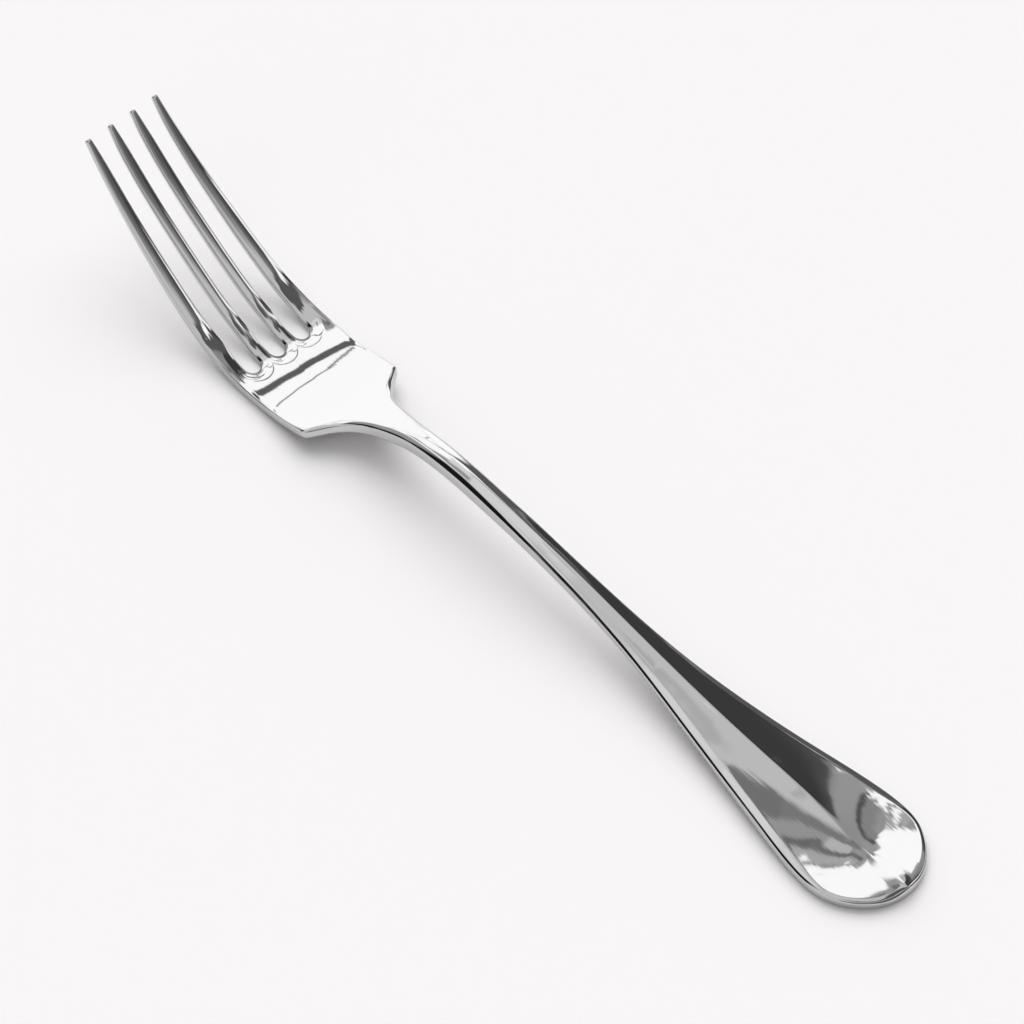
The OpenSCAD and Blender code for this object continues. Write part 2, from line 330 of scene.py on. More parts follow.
    def top_drop(self, x: Array, y: Array, gap: Array, rim: Array) -> Array:
        """Depth of the top below the spine, before its edges are rounded.

        It adds five forms. The middle ridge falls as (1 - reach) squared, with a slight swell halfway. The
        bowl at the handle's end deepens from the rim inwards. The rim slopes outwards from its crease at an
        even angle. The neck's roof falls to both sides of a flat facet, and the palm's dish is a parabola.

        Args:
            x: Places across the fork.
            y: Places along the fork.
            gap: Distances from the outline.
            rim: Width of the rim there.

        Returns:
            Depths square to the spine, down being positive.
        """
        s, w = y / self.length, np.maximum(self.half_w(y), self.edge_r)
        reach = np.clip(np.hypot(x, self.crest_r) / (w * self.ridge_reach_share), 0.0, 1.0)
        ridge_now = smooth_curve(self.ridge_shares, s)
        ridge = ridge_now * (self.ridge_h * (1.0 - reach) ** 2 + self.swell_h * np.sin(np.pi * reach) ** 2)
        fall = smooth_curve(self.fall_shares, s) * self.roof_h
        near, far = self.hollow_reach_shares
        turned = np.clip(s / self.hollow_turn_share, 0.0, 1.0)
        bowl_r = (near + (far - near) * turned) * self.handle_w / 2.0
        inwards = np.clip((gap - rim) / bowl_r, 0.0, 1.0)
        deep = 1.0 - (1.0 - inwards) ** self.hollow_power
        bowl = smooth_curve(self.hollow_shares, s) * self.hollow_h * deep
        crease = self.crease_share * self.rim_w
        slope = np.tan(np.radians(self.rim_lean)) * smooth_curve(self.lean_shares, s)
        rim_fall = slope * (rim - gap + np.hypot(rim - gap, crease)) / 2.0
        flat = smooth_curve(self.facet_shares, s) * w
        past_flat = np.hypot(np.maximum(0.0, np.abs(x) - flat), crease) - crease
        off = past_flat / np.maximum(w - flat, self.crest_r)
        roof = smooth_curve(self.roof_shares, s) * self.roof_h * off**self.roof_power
        level = np.clip(1.0 - (x / w) ** 2, 0.0, 1.0)
        dish = smooth_curve(self.dish_shares, s) * self.dish_h * level
        return fall + bowl + rim_fall + roof + dish - ridge + self.crown(x, y) + self.scoops(x, y)

    def crown(self, x: Array, y: Array) -> Array:
        """Depth of the tines' rounded tops beside their middles: a parabola across each, past the roots.

        Args:
            x: Places across the fork.
            y: Places along the fork.

        Returns:
            Depths.
        """
        pitch, side, w = self.slot_x(1, y), self.slot_side(y), self.half_w(y)
        inner = np.abs(x) < pitch
        middle = np.where(inner, pitch / 2.0, (pitch + side + w) / 2.0)
        half = np.where(inner, pitch / 2.0 - side, (w - pitch - side) / 2.0)
        away = np.clip((np.abs(x) - middle) / np.maximum(half, self.edge_r), -1.0, 1.0)
        begun = soft_step(self.root_y, self.root_y + self.crown_run_share * self.slot_w, y)
        return self.crown_h * begun * away**2

    def scoops(self, x: Array, y: Array) -> Array:
        """Depth of the hollows where each slot runs out into the palm: a bell round the slot's round root.

        Args:
            x: Places across the fork.
            y: Places along the fork.

        Returns:
            Depths.
        """
        r = self.slot_w / 2.0
        depth = np.zeros(np.broadcast(x, y).shape)
        for k in (-1, 0, 1):
            reach = np.hypot(x - self.slot_x(k, y), np.minimum(0.0, y - self.root_y - r)) - r
            bell = self.scoop_h * (1.0 - soft_step(0.0, self.scoop_r, reach))
            depth = np.maximum(depth, bell * self.near_root(y))
        return depth

    def near_root(self, y: Array) -> Array:
        """Fade from 1 round the slots' roots to 0 a few slot radii along the tines."""
        r = self.slot_w / 2.0
        return 1.0 - soft_step(self.root_y + r, self.root_y + self.scoop_run_share * r, y)

    def place(self, x: Array, y: Array, drop: Array) -> Array:
        """Put points that lie a depth below the spine, measured square to it, into the part's frame.

        Args:
            x: Places across the fork.
            y: Places along the fork, from the handle's end.
            drop: Depths below the spine.

        Returns:
            Points, with the fork's middle at y = 0 and its lowest face on the table.
        """
        lean = self.spine_lean(y)
        along = y + drop * np.sin(lean) - self.length / 2.0
        height = self.spine_z(y) - self.rest_cut - drop * np.cos(lean)
        return np.stack(np.broadcast_arrays(x, along, np.maximum(height, 0.0)), -1)


class Side(Enum):
    """Which edge of a strip a path runs along: its sign is where the metal lies from the edge."""

    LEFT = 1.0
    RIGHT = -1.0


@dataclass
class Edge:
    """One edge of a strip: a path of points, the way into the metal, and the roundings along it."""

    x: Array
    y: Array
    into_x: Array
    into_y: Array
    top_r: Array
    back_r: Array
    reach: Array
    rim: Array

    def columns(self, turns: Array, steps: Array, radius: Array) -> tuple[Array, Array, Array, Array]:
        """Lay columns inwards from the edge: round its arc by even turns, then over the rim and the border.

        A turn a from the wall gives the distance radius * (1 - cos a) from the edge and the extra depth
        radius * (1 - sin a). Steps up to 1 run from the arc to the rim's crease, and steps from 1 to 2 from
        the crease to the border's inner side, with no extra depth.

        Args:
            turns: Angles of the arc's columns, 0 at the wall.
            steps: Places of the border's columns, 1 at the crease and 2 at its inner side.
            radius: Radius of the rounding in each row.

        Returns:
            Arrays x, y, distance from the edge and extra depth, one row per row of the strip.
        """
        radius, reach, rim = radius[:, None], self.reach[:, None], self.rim[:, None]
        on_rim, past_rim = np.minimum(steps, 1.0), np.maximum(steps - 1.0, 0.0)
        top = radius + (rim - radius) * on_rim + (reach - rim) * past_rim
        gap = np.hstack([radius * (1.0 - np.cos(turns)), top])
        extra = np.hstack([radius * (1.0 - np.sin(turns)), np.zeros_like(top)])
        x = self.x[:, None] + self.into_x[:, None] * gap
        y = self.y[:, None] + self.into_y[:, None] * gap
        return x, y, gap, extra

    def inner_side(self) -> tuple[Array, Array]:
        """Places across and along of the border's inner side."""
        return self.x + self.into_x * self.reach, self.y + self.into_y * self.reach


@dataclass
class Skin:
    """Rings of points round a strip of metal, from one end to the other, ready to be joined into faces."""

    rings: Array
    owners: Array

    def quads(self) -> Array:
        """Join neighbouring rings by faces, each ring closed on itself.

        Returns:
            Corner indices, four to a face.
        """
        rows, cols = self.rings.shape[:2]
        index = np.arange(rows * cols).reshape(rows, cols)
        nxt = np.roll(index, -1, axis=1)
        return np.stack([index[:-1], nxt[:-1], nxt[1:], index[1:]], -1).reshape(-1, 4)


def graded(count: int, even_share: float, power: float) -> Array:
    """Places from 0 to 1 in steps that start small and widen: even * u + (1 - even) * u to the power."""
    u = np.linspace(0.0, 1.0, count + 1)
    return even_share * u + (1.0 - even_share) * u**power


@dataclass
class ForkMesher:
    """Turns the form into rings of points, whose columns follow the edges so that every rounding is even."""

    form: ForkForm = field(default_factory=ForkForm)

    # Columns round a strip, and rows along it
    arc_cols: int = 7
    rim_steps: tuple[float, ...] = (0.25, 0.5, 0.75, 0.9, 0.96, 1.0, 1.04, 1.1, 1.2, 1.4, 1.7, 2.0)
    inner_cols: int = 24
    outer_cols: int = 14
    nose_rows: int = 70
    handle_rows: int = 170
    neck_rows: int = 110
    palm_rows: int = 80
    root_rows: int = 16
    tine_rows: int = 90
    tip_rows: int = 6

    # Even part and power of the steps round the nose and across the handle, and how far and how finely q is
    # searched for the handle's widest point
    nose_grading: tuple[float, float] = (0.35, 1.6)
    handle_grading: tuple[float, float] = (0.3, 1.8)
    nose_reach: float = 0.4
    nose_samples: int = 8001

    # Widths of the border that follows the edge, and the stretch of the handle over which it narrows
    handle_border: float = 3.2
    palm_border: float = 0.9
    border_turn: tuple[float, float] = (40.0, 90.0)

    # Distances: the seam with the tines before the slots' roots, the end of the columns' turn before the
    # seam, and the stretch before the roots where the way in from the outline turns straight across
    root_lead: float = 1.25
    palm_turn: float = 2.0
    square_turn: tuple[float, float] = (12.0, 7.0)
    seam_slack: float = 1e-6

    # Roundings of the tips and the roots, and the least border of a tine
    tip_round: float = 0.35
    tip_inset: float = 0.2
    root_round: float = 0.55
    least_reach: float = 0.3

    # Limits, as shares: the border of the half width, the rim of the border, the border of a tine's width
    # round the root and past it, both arcs of the border, and the crease's place between arc and border
    border_share: float = 0.4
    rim_share: float = 0.7
    reach_shares: tuple[float, float] = (0.45, 0.42)
    top_arc_share: float = 0.8
    back_arc_share: float = 0.9
    crease_shares: tuple[float, float] = (0.3, 0.6)

    def ring_strip(self, left: Edge, right: Edge, mid_x: Array, mid_y: Array,
                   shrink: Array | float = 0.0) -> Array:
        """Close rings round a strip: over the top from left to right, down the wall, back under, and up.

        The inner columns run in straight lines from the left border to the right one through mid points.

        Args:
            left: The left edge.
            right: The right edge.
            mid_x: Inner columns' places across, one row per ring.
            mid_y: Inner columns' places along, one row per ring.
            shrink: Depth in each row by which top and back draw together, for a rounded tip.

        Returns:
            Points, rings by columns by 3.
        """
        form = self.form
        turns = np.linspace(0.0, np.pi / 2.0, self.arc_cols)
        steps = np.array(self.rim_steps)
        # Past the broad part, the inner columns count as far from the outline
        far = np.full(mid_x.shape, form.handle_w)
        broad = left.y < form.length * form.broad_share
        far[broad] = form.deep_gap(mid_x[broad], mid_y[broad])
        parts = []
        for back in (False, True):
            lx, ly, lgap, lextra = left.columns(turns, steps, left.back_r if back else left.top_r)
            rx, ry, rgap, rextra = right.columns(turns, steps, right.back_r if back else right.top_r)
            x = np.hstack([lx, mid_x, rx[:, ::-1]])
            y = np.hstack([ly, mid_y, ry[:, ::-1]])
            extra = np.hstack([lextra, np.zeros_like(mid_x), rextra[:, ::-1]]) + np.reshape(shrink, (-1, 1))
            if back:
                points = form.place(x, y, form.thick(y) - extra)
                parts.append(points[:, ::-1])
                continue
            gap = np.hstack([lgap, far, rgap[:, ::-1]])
            left_cols = lgap.shape[1] + mid_x.shape[1] // 2
            counts = (left_cols, gap.shape[1] - left_cols)
            rim = np.repeat(np.stack([left.rim, right.rim], -1), counts, axis=1)
            parts.append(form.place(x, y, form.top_drop(x, y, gap, rim) + extra))
        return np.hstack(parts)

    def outline_edge(self, y: Array, q: Array, side: Side, border: Array) -> Edge:
        """Edge along the outline, its way in square to the curve; near the slots it is straight across.

        Args:
            y: Places along the fork.
            q: Root of each place's share of the length, which runs evenly round the nose.
            side: Which side of the fork.
            border: Width of the border in each row.

        Returns:
            The edge.
        """
        form = self.form
        run_w, run_y = form.outline_run(q)
        start, end = self.square_turn
        run_w = run_w * (1.0 - soft_step(form.root_y - start, form.root_y - end, y))
        size = np.hypot(run_w, run_y)
        near = 1.0 - soft_step(*form.near_round_shares, y / form.length)
        top_r = form.edge_r * (1.0 + form.near_round_share * near)
        back_r = np.minimum(form.back_r, form.back_round_share * form.thick(y))
        rim = np.minimum(form.rim(y), self.rim_share * border)
        return Edge(-side.value * form.half_w(y), y, side.value * run_y / size, run_w / size, top_r, back_r,
                    border, rim)

    def nose_q(self) -> tuple[Array, float]:
        """Rows round the nose, finer near its middle, up to the handle's widest point.

        Returns:
            Roots of the rows' shares of the length, and the widest point's place along the fork.
        """
        form = self.form
        q = np.linspace(0.0, self.nose_reach, self.nose_samples)
        w = form.half_w(q * q * form.length)
        widest = int(np.argmax(w))
        q, w = q[: widest + 1], w[: widest + 1]
        run = np.concatenate([[0.0], np.cumsum(np.hypot(np.diff(w), np.diff(q * q * form.length)))])
        rows_q = np.interp(run[-1] * graded(self.nose_rows, *self.nose_grading), run, q)
        rows_q[-1] = q[-1]
        return rows_q, float(q[-1] ** 2 * form.length)

    def body(self) -> Skin:
        """Rings of the handle, neck and palm, up to a little before the slots.

        Round the nose every ring runs inwards along the outline's normal over the border, then straight
        across; the first ring folds onto itself, so merging equal points closes the nose.

        Returns:
            The skin, whose owners are 0 for the handle, 1 for the neck and 2 for the palm.
        """
        form = self.form
        nose_q, pole_y = self.nose_q()
        neck_y, palm_y = form.neck_share * form.length, form.palm_share * form.length
        end_y = form.root_y - self.root_lead
        straight = np.concatenate([
            np.linspace(pole_y, neck_y, self.handle_rows + 1)[1:],
            np.linspace(neck_y, palm_y, self.neck_rows + 1)[1:],
            np.linspace(palm_y, end_y, self.palm_rows + 1)[1:],
        ])
        q = np.concatenate([nose_q, np.sqrt(straight / form.length)])
        y = q * q * form.length
        y[len(nose_q):] = straight
        narrowed = 1.0 - soft_step(*self.border_turn, y)
        border = self.palm_border + (self.handle_border - self.palm_border) * narrowed
        room = np.where(y > pole_y, self.border_share * form.half_w(y), self.handle_border)
        border = np.minimum(border, room)
        left = self.outline_edge(y, q, Side.LEFT, border)
        right = self.outline_edge(y, q, Side.RIGHT, border)
        inner_x, inner_y = right.inner_side()
        half_x = self.half_columns(y, inner_x, end_y)
        half_y = np.broadcast_to(inner_y[:, None], half_x.shape)
        mid_x = np.hstack([-half_x[:, :0:-1], half_x])[:, 1:-1]
        mid_y = np.hstack([half_y[:, :0:-1], half_y])[:, 1:-1]
        rings = self.ring_strip(left, right, mid_x, mid_y)
        ends = np.array([neck_y, palm_y]) + self.seam_slack
        return Skin(rings, np.searchsorted(ends, y[1:]))

    def half_columns(self, y: Array, border_x: Array, end_y: float) -> Array:
        """Places across of the columns from the middle to the border, on one half of the body.

        On the handle they widen outwards. On the palm they turn into the columns of the inner and the outer
        tine, which meet at the slot's middle.

        Args:
            y: Places along the fork.
            border_x: Inner side of the border in each row.
            end_y: Place of the seam with the tines.

        Returns:
            Places across, one row per ring.
        """
        form = self.form
        handle_x = graded(self.inner_cols + self.outer_cols, *self.handle_grading) * border_x[:, None]
        inner = np.linspace(0.0, 1.0, self.inner_cols + 1) * form.root_pitch
        outer = np.linspace(0.0, 1.0, self.outer_cols + 1)[1:]
        outer_x = form.root_pitch + (border_x[:, None] - form.root_pitch) * outer
        palm_x = np.hstack([np.tile(inner, (len(y), 1)), outer_x])
        turn = soft_step(form.palm_share * form.length, end_y - self.palm_turn, y)[:, None]
        return (1.0 - turn) * handle_x + turn * palm_x

    def slot_edge(self, k: int, side: Side, y: Array, turn: Array) -> Edge:
        """Edge along one side of a slot, from the apex round its root and on to the tip.

        Args:
            k: Which slot, -1 to 1.
            side: LEFT for the tine on the slot's right, whose left edge this is.
            y: Places of the straight rows.
            turn: Angles of the rows round the root, 0 at the apex.

        Returns:
            The edge, with a rounding that is wider at the root.
        """
        form = self.form
        r = form.slot_w / 2.0
        all_y = np.concatenate([form.root_y + r * (1.0 - np.cos(turn)), y])
        half = np.concatenate([r * np.sin(turn), np.full(len(y), r)]) * form.slot_side(all_y) / r
        angle = np.concatenate([turn, np.full(len(y), np.pi / 2.0)])
        top_r = form.edge_r + self.root_round * form.near_root(all_y)
        x = form.slot_x(k, all_y) + side.value * half
        into_x, into_y = side.value * np.sin(angle), -np.cos(angle)
        back_r, reach = np.full(len(x), form.back_r), np.full(len(x), self.root_lead)
        return Edge(x, all_y, into_x, into_y, top_r, back_r, reach, form.rim(all_y))

    def fit_edge(self, edge: Edge, side: Side, width: Array, inset: Array) -> None:
        """Fit an edge's border and roundings to a tine's width and thickness, and draw it in at the tip.

        Args:
            edge: The edge, which is changed.
            side: Which side of the tine.
            width: The tine's width in each row.
            inset: How far each row is drawn in.
        """
        rows = np.arange(len(width))
        root_share, tine_share = self.reach_shares
        room = np.where(rows > self.root_rows, tine_share, root_share) * width
        room = np.where(rows == 0, self.root_lead, np.maximum(room, self.least_reach))
        edge.reach = np.minimum(edge.reach, room)
        edge.top_r = np.minimum(edge.top_r, self.top_arc_share * edge.reach)
        least, most = self.crease_shares
        flat = edge.reach - edge.top_r
        edge.rim = np.clip(edge.rim, edge.top_r + least * flat, edge.top_r + most * flat)
        back_r = np.minimum(edge.back_r, self.form.back_round_share * self.form.thick(edge.y))
        edge.back_r = np.minimum(back_r, self.back_arc_share * edge.reach)
        edge.x = edge.x + side.value * inset

    def tine(self, number: int) -> Skin:
        """Rings of one tine, from the seam with the palm round the slot roots to the rounded tip.

        Args:
            number: 0 to 3, counted from -X to +X.

        Returns:
            The skin, whose first ring runs down each slot's axis and across to the next.
        """
        form = self.form
        r, root = form.slot_w / 2.0, form.root_y
        tip_lean = float(form.spine_lean(np.array(form.length - form.lean_step)))
        tip_y = form.length - form.tine_tip_t * np.sin(tip_lean)
        turn = np.linspace(0.0, np.pi / 2.0, self.root_rows + 1)
        run = np.linspace(0.0, 1.0, self.tine_rows + 1)[1:]
        straight = root + r + (tip_y - self.tip_round - root - r) * run
        cap = np.linspace(0.0, np.pi / 2.0, self.tip_rows + 1)[1:]
        y = np.concatenate([straight, tip_y - self.tip_round + self.tip_round * np.sin(cap)])
        inset = np.concatenate([np.zeros(len(turn) + len(straight)), self.tip_inset * (1.0 - np.cos(cap))])
        outer_y = np.concatenate([root - self.root_lead + (r + self.root_lead) * turn / (np.pi / 2.0), y])
        outer_q, border = np.sqrt(outer_y / form.length), np.full(len(outer_y), self.palm_border)
        edges = []
        for side, slot in ((Side.LEFT, number - 2), (Side.RIGHT, number - 1)):
            if abs(slot) > 1:
                edges.append(self.outline_edge(outer_y, outer_q, side, border))
            else:
                edges.append(self.slot_edge(slot, side, y, turn))
        left, right = edges
        width = right.x - left.x
        self.fit_edge(left, Side.LEFT, width, inset)
        self.fit_edge(right, Side.RIGHT, width, inset)
        even = np.linspace(0.0, 1.0, (self.inner_cols if number in (1, 2) else self.outer_cols) + 1)[1:-1]
        (lx, ly), (rx, ry) = left.inner_side(), right.inner_side()
        mid_x = lx[:, None] + (rx - lx)[:, None] * even
        mid_y = ly[:, None] + (ry - ly)[:, None] * even
        rings = self.ring_strip(left, right, mid_x, mid_y, inset)
        return Skin(rings, np.full(len(rings) - 1, 3 + number))


@dataclass
class PieceMesh:
    """A closed piece of the fork, ready for Blender."""

    name: str
    points: Array
    faces: list[tuple[int, ...]]
    corner_normals: Array


def unit(v: Array) -> Array:
    """Vectors brought to length 1, where they have a length."""
    return v / np.maximum(np.linalg.norm(v, axis=1, keepdims=True), TINY)


def across_quads(points: Array, quads: Array) -> Array:
    """Cross product of each quad's two diagonals, which points outwards and is as long as twice its area."""
    a, b, c, d = (points[quads[:, i]] for i in range(4))
    return np.cross(c - a, d - b)


@dataclass
class ForkMetal:
    """The whole fork as one unbroken skin, cut into the pieces that the CAD part names.

    The normals are worked out on the whole skin before it is cut, so the polish runs over each joint without
    a line; the flat caps that close each piece lie inside the metal.
    """

    mesher: ForkMesher = field(default_factory=ForkMesher)
    names: tuple[str, ...] = ("handle", "neck", "palm", "tine_1", "tine_2", "tine_3", "tine_4")
    weld: float = 1e-5

    def caps(self, skin: Skin, first: int, last: int, ends: tuple[bool, bool]) -> Array:
        """Quads that close a strip: each joins two neighbouring top columns to the two back ones under them.

        Args:
            skin: The strip's skin.
            first: Index of the ring at the near end.
            last: Index of the ring at the far end.
            ends: Whether the near and the far end get a cap.

        Returns:
            Corner indices into the skin's points.
        """
        cols = skin.rings.shape[1]
        top = np.arange(cols // 2)
        back = cols - 1 - top
        made = []
        if ends[0]:
            made.append(first * cols + np.stack([top[1:], top[:-1], back[:-1], back[1:]], -1))
        if ends[1]:
            made.append(last * cols + np.stack([top[:-1], top[1:], back[1:], back[:-1]], -1))
        return np.vstack(made)

    def build(self) -> list[PieceMesh]:
        """Make every piece's mesh.

        Returns:
            The pieces, in metres, in the order of their names.
        """
        skins = [self.mesher.body()] + [self.mesher.tine(k) for k in range(4)]
        points, quads, owners, caps, cap_owners = [], [], [], [], []
        start = 0
        for skin in skins:
            rows, cols = skin.rings.shape[:2]
            points.append(skin.rings.reshape(-1, 3))
            quads.append(skin.quads() + start)
            owners.append(np.repeat(skin.owners, cols))
            for owner in np.unique(skin.owners):
                rings = np.flatnonzero(skin.owners == owner)
                cap = self.caps(skin, int(rings[0]), int(rings[-1]) + 1, (owner != 0, True)) + start
                caps.append(cap)
                cap_owners.append(np.full(len(cap), owner))
            start += rows * cols
        points, quads, owners = np.vstack(points), np.vstack(quads), np.concatenate(owners)
        caps, cap_owners = np.vstack(caps), np.concatenate(cap_owners)
        cells = np.round(points / self.weld).astype(np.int64)
        _, first, merged = np.unique(cells, axis=0, return_index=True, return_inverse=True)
        points, merged = points[first], merged.reshape(-1)
        quads, caps = merged[quads], merged[caps]
        face_normal = across_quads(points, quads)
        normal = np.zeros_like(points)
        for i in range(4):
            np.add.at(normal, quads[:, i], face_normal)
        normal = unit(normal)
        return [self.piece(name, points, normal, quads[owners == i], caps[cap_owners == i])
                for i, name in enumerate(self.names)]

    def piece(self, name: str, points: Array, normal: Array, own: Array, cap: Array) -> PieceMesh:
        """Cut one piece out of the whole skin and close it.

        A quad with two corners at one point becomes a triangle, and one with less than three points goes.

        Args:
            name: The piece's name.
            points: The whole skin's points, in millimetres.
            normal: Their normals.
            own: The piece's quads on the skin.
            cap: The quads that close it.

        Returns:
            The piece, in metres.
        """
        used, local = np.unique(np.concatenate([own.ravel(), cap.ravel()]), return_inverse=True)
        local = local.reshape(-1, 4)
        cap_n = unit(across_quads(points, cap))
        corner = np.concatenate([normal[own], np.repeat(cap_n[:, None, :], 4, axis=1)])
        keep = local != np.roll(local, 1, axis=1)
        whole = keep.sum(axis=1) >= 3
        keep, local, corner = keep[whole], local[whole], corner[whole]
        ends = np.cumsum(keep.sum(axis=1))[:-1]
        faces = [tuple(part) for part in np.split(local[keep], ends)]
        return PieceMesh(name, points[used] * MM, faces, corner[keep])


def linear(hex_colour: str) -> tuple[float, float, float, float]:
    """Turn an sRGB hex colour into linear values, by the standard's own curve.

    Args:
        hex_colour: Six digits after a hash.

    Returns:
        Linear red, green, blue and an alpha of 1.
    """
    parts = np.array([int(hex_colour[i:i + 2], 16) for i in (1, 3, 5)]) / 255.0
    lin = np.where(parts <= 0.04045, parts / 12.92, ((parts + 0.055) / 1.055) ** 2.4)
    return (*(float(v) for v in lin), 1.0)


def add_node(tree: bpy.types.NodeTree, kind: str, inputs: dict | None = None, links: dict | None = None,
             **settings: object) -> bpy.types.Node:
    """Add a node with its settings, its sockets' values and its links.

    Args:
        tree: Node tree to add to.
        kind: The node's type name.
        inputs: Values by input name or number.
        links: Output sockets by the input name or number that they feed.
        settings: The node's own properties.

    Returns:
        The node.
    """
    node = tree.nodes.new(kind)
    for name, value in settings.items():
        setattr(node, name, value)
    for key, value in (inputs or {}).items():
        node.inputs[key].default_value = value
    for key, socket in (links or {}).items():
        tree.links.new(socket, node.inputs[key])
    return node


@dataclass(frozen=True)
class PolishedSteel:
    """Stainless steel 18/10, stamped, ground along its length and mirror polished.

    The eye sees a neutral grey mirror whose reflections have crisp edges. The last traces of the grinding,
    which run along the fork, fray the edges of those reflections that lie across it. Faint rubbed patches
    make the mirror a little softer here and there.

    Attributes:
        name: The material's name.
        colour: Colour of the bare metal.
        roughness: Least and greatest roughness, over the rubbed patches.
        noise_span: Values of the patches' noise that get the least and the greatest roughness.
        patch_mm: Size of a rubbed patch.
        line_mm: Spacing of the polish lines, drawn coarser than the real ones so that the picture holds
            them.
        line_run_mm: Length over which a line comes and goes.
        line_depth_mm: Height of the lines.
        ripple_mm: Size of the slight waves that stamping leaves under the polish.
        ripple_depth_mm: Height of the waves.
    """

    name: str = "polished_stainless_steel"
    colour: str = "#C7C7C8"
    roughness: tuple[float, float] = (0.03, 0.06)
    noise_span: tuple[float, float] = (0.3, 0.7)
    patch_mm: float = 14.0
    line_mm: float = 0.45
    line_run_mm: float = 40.0
    line_depth_mm: float = 0.0035
    ripple_mm: float = 4.5
    ripple_depth_mm: float = 0.02

    def build(self) -> bpy.types.Material:
        """Make the material: noise of the patches' size sets the roughness, and drawn-out noise the lines.

        Returns:
            The material.
        """
        material = bpy.data.materials.new(self.name)
        material.use_nodes = True
        tree = material.node_tree
        shader = tree.nodes["Principled BSDF"]
        shader.inputs["Base Color"].default_value = linear(self.colour)
        shader.inputs["Metallic"].default_value = 1.0
        place = add_node(tree, "ShaderNodeTexCoord").outputs["Object"]
        patch = add_node(tree, "ShaderNodeTexNoise", {"Scale": 1.0 / (self.patch_mm * MM), "Detail": 3.0},
                         {"Vector": place}).outputs[0]
        (low, high), (least, most) = self.noise_span, self.roughness
        rough = add_node(tree, "ShaderNodeMapRange", {1: low, 2: high, 3: least, 4: most}, {0: patch})
        tree.links.new(rough.outputs[0], shader.inputs["Roughness"])
        across, along = 1.0 / (self.line_mm * MM), 1.0 / (self.line_run_mm * MM)
        drawn = add_node(tree, "ShaderNodeMapping", {"Scale": (across, along, along)}, {"Vector": place})
        lines = add_node(tree, "ShaderNodeTexNoise", {"Scale": 1.0, "Detail": 2.0},
                         {"Vector": drawn.outputs[0]}).outputs[0]
        relief = add_node(tree, "ShaderNodeBump", {"Distance": self.line_depth_mm * MM},
                          {"Height": lines}).outputs[0]
        waves = add_node(tree, "ShaderNodeTexNoise", {"Scale": 1.0 / (self.ripple_mm * MM), "Detail": 1.0},
                         {"Vector": place}).outputs[0]
        relief = add_node(tree, "ShaderNodeBump", {"Distance": self.ripple_depth_mm * MM},
                          {"Height": waves, "Normal": relief}).outputs[0]
        tree.links.new(relief, shader.inputs["Normal"])
        return material


@dataclass
class Fork:
    """The dinner fork: its seven pieces, each standing for the CAD node of the same name."""

    metal: ForkMetal = field(default_factory=ForkMetal)
    finish: PolishedSteel = field(default_factory=PolishedSteel)

    def build(self) -> list[bpy.types.Object]:
        """Make each piece's object, dress it and tie it to the frame.

        Returns:
            The objects.
        """
        material = self.finish.build()
        made = []
        for piece in self.metal.build():
            mesh = bpy.data.meshes.new(f"fork_{piece.name}")
            mesh.from_pydata(piece.points.tolist(), [], piece.faces)
            mesh.materials.append(material)
            mesh.shade_smooth()
            mesh.normals_split_custom_set(piece.corner_normals.tolist())
            mesh.update()
            thing = bpy.data.objects.new(f"fork_{piece.name}", mesh)
            bpy.context.scene.collection.objects.link(thing)
            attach(thing, "root")
            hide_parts(piece.name)
            log.info("%s: %d points, %d faces", thing.name, len(mesh.vertices), len(mesh.polygons))
            made.append(thing)
        return made


@dataclass
class Viewpoint:
    """The photograph's viewing angle: a long lens, seen from the handle's left, high over the table.

    Attributes:
        azimuth: Turn of the camera round the fork, in degrees.
        elevation: Its angle over the table, in degrees.
        roll: Its turn about its own axis, in degrees.
        focal_px: Focal length, in pixels of the picture.
        distance: Distance from the anchor, in millimetres.
        anchor: Point that the camera is placed by, in millimetres.
        anchor_px: The anchor's place in the picture.
        image_px: Side of the picture, in pixels.
        sensor: Side of the sensor, in millimetres.
        clip_m: Nearest and farthest distance that is drawn, in metres.
    """

    azimuth: float = -51.19
    elevation: float = 51.80
    roll: float = 8.37
    focal_px: float = 7326.0
    distance: float = 1322.0
    anchor: tuple[float, float, float] = (0.0, -3.0, 5.0)
    anchor_px: tuple[float, float] = (512.2, 536.9)
    image_px: float = 1024.0
    sensor: float = 36.0
    clip_m: tuple[float, float] = (0.01, 20.0)

    def build(self) -> bpy.types.Object:
        """Make the camera, with the anchor at its place in the picture.

        Returns:
            The camera.
        """
        az, el, ro = np.radians([self.azimuth, self.elevation, self.roll])
        back = np.array([np.sin(az) * np.cos(el), -np.cos(az) * np.cos(el), np.sin(el)])
        level = np.array([np.cos(az), np.sin(az), 0.0])
        upright = np.cross(back, level)
        right = np.cos(ro) * level + np.sin(ro) * upright
        up = -np.sin(ro) * level + np.cos(ro) * upright
        off = (np.array(self.anchor_px) - self.image_px / 2.0) / self.focal_px * self.distance
        place = np.array(self.anchor) + back * self.distance - right * off[0] + up * off[1]
        data = bpy.data.cameras.new("camera")
        data.sensor_width = self.sensor
        data.lens = self.focal_px * self.sensor / self.image_px
        data.clip_start, data.clip_end = self.clip_m
        camera = bpy.data.objects.new("camera", data)
        turn = np.eye(4)
        turn[:3, 0], turn[:3, 1], turn[:3, 2], turn[:3, 3] = right, up, back, place * MM
        camera.matrix_world = Matrix(turn.tolist())
        bpy.context.scene.collection.objects.link(camera)
        bpy.context.scene.camera = camera
        return camera


